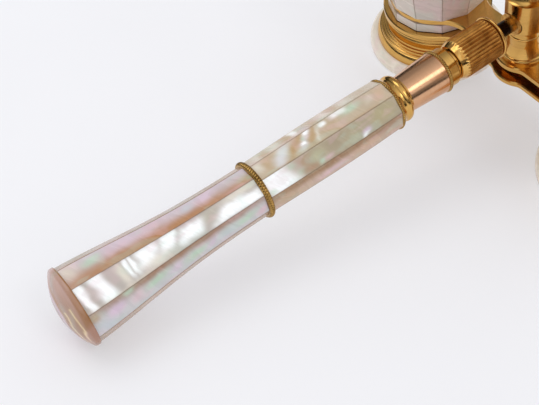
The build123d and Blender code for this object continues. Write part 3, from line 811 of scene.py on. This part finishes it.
def make_barrel_staves():
    """Twelve staves on each barrel's cone, and twelve short ones below the bridge."""
    clock = 9.0
    for name, x in (("left", -half_spacing), ("right", half_spacing)):
        place = barrel(x)
        for tier in ("barrel", "ocular"):
            node = f"{tier}_pearl_{name}"
            local = points_in(node, place)
            low, high = local[:, 2].min(), local[:, 2].max()
            flats = []
            for level in (low, high):
                ring = local[np.abs(local[:, 2] - level) < 0.01]
                corner = np.hypot(ring[:, 0], ring[:, 1]).max()
                flats.append((corner * cos(pi / barrel_facets), level))
            make_staves(
                f"{tier}_staves_{name}", place, smooth_through(flats), low, high, barrel_facets,
                clock, barrel_stave_t, barrel_staves, low, "glasses", "pearl_barrel", [node],
            )


# ---- butt cap ----
def make_butt_cap():
    """Domed button with a rounded rim, and streaks that bow with the rim on its facing side; painted shade browns
    its lower side and rim, and two painted glints shine there.
    """
    one_stave = 360 / grip_staves
    rim_r = reach("butt_cap", handle)[1][0]
    rim_end = butt_start + 1.1
    facing = radians(grip_clock["lower"] + one_stave)
    bend = rim_end - 0.55
    dome_edge = (rim_r - 0.5, rim_end + 0.3)
    rise = butt_tip - dome_edge[1]
    sphere = (dome_edge[0] ** 2 + rise**2) / (2 * rise)
    dome_rings = 30
    foot, chamfer, round_steps, turn_steps = butt_start + 0.01, 0.1, 7, 128
    outline = [(0, foot), (rim_r - chamfer, foot), (rim_r, butt_start + chamfer)]
    for t in (0.33, 0.67, 1.0):
        outline.append((rim_r, butt_start + chamfer + (bend - butt_start - chamfer) * t))
    outline += arc(outline[-1], (rim_r - 0.13, rim_end - 0.02), dome_edge, round_steps)
    for k in range(1, dome_rings):
        r = dome_edge[0] * (1 - k / dome_rings)
        outline.append((r, butt_tip - sphere + sqrt(sphere**2 - r * r)))
    outline.append((0, butt_tip))
    points, faces = lathe(outline, turn_steps)
    piece = make_piece(
        "pearl_button", handle, points, faces, "grip", "pearl_butt", ["butt_cap"], sharp=60
    )
    x, y, s = points.T
    radius = np.hypot(x, y)
    wave = clouds(np.column_stack([x, y]), 16.0, 300)
    turned_in = x * cos(facing) + y * sin(facing)
    across = -x * sin(facing) + y * cos(facing)
    bend_r, wander = 11.0, 0.9
    bow = turned_in + across**2 / (2 * bend_r) + wave * wander
    tone = np.tile(np.array(srgb(196, 162, 150)[:3]), (len(points), 1))

    def streak(colour, at, wide, share):
        """Soft streak at a distance from the middle toward the facing side."""
        amount = share * np.exp(-(((bow - at) / wide) ** 2))
        blend_in(tone, colour, amount)
        return amount

    streak(srgb(176, 178, 188), -6.2, 0.9, 0.75)
    streak(lavender, -4.6, 0.8, 0.85)
    streak(srgb(176, 134, 112), -3.0, 0.7, 0.8)
    streak(rose, -1.4, 1.0, 0.8)
    streak(srgb(168, 160, 166), 0.6, 0.6, 0.7)
    streak(lavender, 2.0, 0.8, 0.8)
    streak(srgb(172, 124, 86), 3.4, 0.9, 0.8)
    # Painted shade: on the lower side a broad brown streak replaces a pale one, and the brown rim grows wider and
    # darker
    shaded_side = np.clip(0.5 - across / rim_r * 0.5, 0, 1)
    streak(srgb(184, 166, 160), 5.4, 0.9, 0.7 * (1 - shaded_side))
    streak(srgb(158, 116, 76), 6.2, 1.9, 0.95 * shaded_side)
    # Painted highlights: two thin gold glints on the lower side, which also make the cap glow faintly
    gleam = srgb(238, 210, 156)
    glow = streak(gleam, 4.5, 0.24, 0.85 * (across < 0))
    glow += streak(gleam, 6.3, 0.22, 0.85 * (across < 0))
    # Brown rim: an even band at the foot, and above it a band made wider and darker on the lower side as painted
    # shade
    rim = np.clip((radius - rim_r * (0.985 - 0.14 * shaded_side)) / (rim_r * 0.06), 0, 1)
    rim *= 0.3 + 0.6 * shaded_side
    rim = np.maximum(rim, 0.9 * (s < butt_start + 0.4) * (radius > rim_r * 0.98))
    blend_in(tone, srgb(152, 104, 54), rim)
    write_attributes(piece, tone, np.column_stack([x * 0.6, y * 0.6, s * 0]), glow * 0.8)


# ---- milled rings ----
def make_band_ring():
    """Rope-milled ring between the two rows of staves."""
    low, high = extent("band_ring")
    outer = reach("band_ring", handle)[1][0]
    middle = (low + high) / 2
    half = (high - low) / 2
    shoulder = outer - half
    cords = 64
    cord_depth = 0.28
    lean = 2.4
    outline = [(grip_tube_r, low), (shoulder, low)]
    outline += arc((shoulder, low), (outer, middle), (shoulder, high), 14)
    outline.append((grip_tube_r, high))

    def rope(radius, height, angle):
        crown = np.clip((radius - shoulder) / half, 0, 1)
        phase = cords * angle + (height - middle) / half * lean
        cut = np.abs(np.sin(phase / 2)) ** 0.7
        return radius - cord_depth * crown**0.5 * (1 - cut), height

    points, faces = lathe(outline, cords * 8, rope)
    make_piece("rope_ring", handle, points, faces, "grip", "aged_gilt", ["band_ring"], sharp=70)


def make_milled_bead(name, node, body, bore_r, ticks):
    """Ring with fine crosswise milling on its crown."""
    low, high = extent(node)
    outer = reach(node, handle)[1][0]
    middle, half = (low + high) / 2, (high - low) / 2
    shoulder = outer - half
    tick_depth = 0.26
    lean = 1.2
    outline = [(bore_r, low), (shoulder, low)]
    outline += arc((shoulder, low), (outer, middle), (shoulder, high), 12)
    outline.append((bore_r, high))

    def milled(radius, height, angle):
        crown = np.clip((radius - shoulder) / half, 0, 1)
        cut = np.abs(np.sin(ticks * angle / 2 + (height - middle) * lean)) ** 0.8
        return radius - tick_depth * crown**0.5 * (1 - cut), height

    points, faces = lathe(outline, ticks * 8, milled)
    make_piece(name, handle, points, faces, body, "aged_gilt", [node], sharp=70)


def make_rings():
    make_band_ring()
    make_milled_bead("ferrule_milling", "ferrule_bead", "grip", grip_tube_r, 66)
    make_milled_bead("neck_milling", "neck_bead", "glasses", neck_bead_bore, 56)


# ---- eyecups ----
def make_eyecups():
    """Dished pearl rings with a flared, rounded edge."""
    edge = 0.7
    flare_in, flare_down = 1.9, 1.9
    lip = 1.6
    dish_middle, dish_end = (12.2, -27.1), (eyecup_bore, -26.4)
    for name, x in (("left", -half_spacing), ("right", half_spacing)):
        place = barrel(x)
        low, high = reach("eyecup_" + name, place)
        outer, bottom, top = high[0], low[2], high[2]
        outline = profile(
            (eyecup_bore, top),
            (outer - flare_in, top),
            ((outer - 0.55, top - 0.7), (outer, top - flare_down)),
            (outer, bottom + edge),
            ((outer - edge * 0.29, bottom + edge * 0.29), (outer - edge, bottom)),
            (outer - lip, bottom),
            (dish_middle, dish_end),
            fine=10,
        )
        points, faces = lathe(outline, 128)
        piece = make_piece(
            "pearl_cup_" + name, place, points, faces, "eyepieces", "pearl_eyecup",
            ["eyecup_" + name], sharp=50,
        )
        field = points[:, :2]
        tone = np.tile(np.array(srgb(234, 224, 208)[:3]), (len(points), 1))
        band = clouds(field, 16.0, 400)
        blend_in(tone, cream, np.clip(band, 0, 1) * 0.7)
        blend_in(tone, rose, np.clip(-band - 0.2, 0, 1) * 0.5)
        # Painted sheen: cloudy patches that make the cup glow faintly
        sheen_glow = np.clip(clouds(field, 9.0, 401) * 1.3, 0, 1)
        write_attributes(piece, tone, points * 0.6, sheen_glow)


# ---- drum ----
def make_drum():
    """Fluted drum: round-bottomed flutes that run out in scallops on a polished bevel."""
    low, high = extent("focus_drum")
    outer = reach("focus_drum", handle)[1][0]
    flutes = 32
    flute_depth = 0.3
    flute_start = low + 0.6
    outline = profile(
        (drum_counterbore, low),
        (outer - 0.5, low),
        ((outer - 0.15, low + 0.15), (outer, flute_start)),
        fine=5,
    )
    for t in (0.25, 0.5, 0.75, 0.95, 1.0):
        outline.append((outer, flute_start + (bevel_start - flute_start) * t))
    for t in (0.1, 0.2, 0.3, 0.4, 0.5, 0.7, 0.85, 1.0):
        bevel = (outer + (drum_end_r - outer) * t, bevel_start + (high - bevel_start) * t)
        outline.append(bevel)
    outline += [(drum_bore, high), (drum_bore, bore_step), (drum_counterbore, bore_step)]

    def fluted(radius, height, angle):
        groove = outer - flute_depth * (1 - np.abs(np.sin(flutes * angle / 2))) ** 0.8
        cut = np.where(height <= low + 0.5, outer, groove)
        return np.minimum(radius, cut), height

    points, faces = lathe(outline, flutes * 14, fluted)
    make_piece(
        "fluted_drum", handle, points, faces, "drum", "fluted_gilt", ["focus_drum"], sharp=40
    )


make_grip_staves()
make_barrel_staves()
make_butt_cap()
make_rings()
make_eyecups()
make_drum()


# ---- finishes of the carried-over nodes ----
def finish_nodes():
    slots = {part["node"]: part["material_slot"] for part in frame["record"]["subparts"]}
    turned_along_handle = ("grip_ferrule", "neck_collar")
    for name, node in frame["nodes"].items():
        along = name in turned_along_handle
        node.data.materials.clear()
        node.data.materials.append(gilt_along_handle if along else finishes[slots[name]])


finish_nodes()


# ---- floor, light and camera ----
def make_floor():
    """Pale floor. Its faint glow lifts it to the photo's brightness without a harder shadow."""
    size = 3.0
    corners = [(-size, -size, 0), (size, -size, 0), (size, size, 0), (-size, size, 0)]
    mesh = bpy.data.meshes.new("floor")
    mesh.from_pydata(corners, [], [(0, 1, 2, 3)])
    floor = bpy.data.objects.new("floor", mesh)
    bpy.context.scene.collection.objects.link(floor)
    shader = Shader("pale_floor")
    cloud = shader.noise(shader.place(), 0.02)
    shader.set(
        Base_Color=shader.mix(cloud, srgb(202, 202, 204), srgb(206, 206, 208)),
        Roughness=0.8,
        Specular_IOR_Level=0.2,
        Emission_Color=(0.97, 0.97, 1.0, 1),
        Emission_Strength=0.31,
    )
    mesh.materials.append(shader.material)


def area_light(name, where, target, size, power, colour=(1, 1, 1)):
    """Square light of a size in metres, turned to a target."""
    data = bpy.data.lights.new(name, "AREA")
    data.shape = "RECTANGLE"
    data.size = data.size_y = size
    data.energy = power
    data.color = colour
    light = bpy.data.objects.new(name, data)
    bpy.context.scene.collection.objects.link(light)
    light.location = where
    toward = Vector(target) - Vector(where)
    light.rotation_euler = toward.to_track_quat("-Z", "Y").to_euler()


def make_world():
    """Studio round the object: even for diffuse light, but what gloss mirrors is dark near the
    horizon, bright overhead and on one side, with a dark band that gives the metal its edges.
    """
    even = 0.86
    band_height = 0.36
    world = bpy.data.worlds.new("studio")
    world.use_nodes = True
    studio = Nodes(world.node_tree)
    direction = studio.add("ShaderNodeTexCoord").outputs["Generated"]
    parts = studio.add("ShaderNodeSeparateXYZ", {0: direction}).outputs
    overhead = studio.span(parts["Z"], 0.1, 0.55, 0.04, 1.12)
    sideways = studio.span(parts["X"], -0.7, 0.6, 0.3, 0.9)
    from_band = studio.math("ABSOLUTE", studio.math("SUBTRACT", parts["Z"], band_height))
    lit = studio.math("MULTIPLY", overhead, sideways)
    lit = studio.math("MULTIPLY", lit, studio.span(from_band, 0.03, 0.09, 0.3, 1.0))
    mirrored = studio.add("ShaderNodeLightPath").outputs["Is Glossy Ray"]
    strength = studio.add("ShaderNodeMix", {0: mirrored, 2: even, 3: lit}, data_type="FLOAT")
    background = studio.add(
        "ShaderNodeBackground", {"Color": (0.96, 0.97, 1.0, 1), "Strength": strength.outputs[0]}
    )
    studio.add("ShaderNodeOutputWorld", {"Surface": background.outputs[0]})
    bpy.context.scene.world = world


def make_lights():
    area_light("overhead", (-0.4, -0.25, 1.0), (0, 0, 0.02), 0.6, 1.9, (1.0, 0.99, 0.97))
    area_light("facing", (0.58, 0.1, 0.8), (0, 0, 0.03), 0.3, 0.6)
    make_world()


def make_camera():
    """Camera solved from the photo's turned rings."""
    data = bpy.data.cameras.new("camera")
    data.lens = 73.5275
    data.sensor_width = 36.0
    camera = bpy.data.objects.new("camera", data)
    bpy.context.scene.collection.objects.link(camera)
    camera.location = (0.1347296, -0.1234132, 0.1854276)
    camera.rotation_euler = [radians(a) for a in (44.0402, -1.2770, 54.3617)]
    bpy.context.scene.camera = camera


make_floor()
make_lights()
make_camera()
bpy.context.scene.view_settings.view_transform = "Standard"
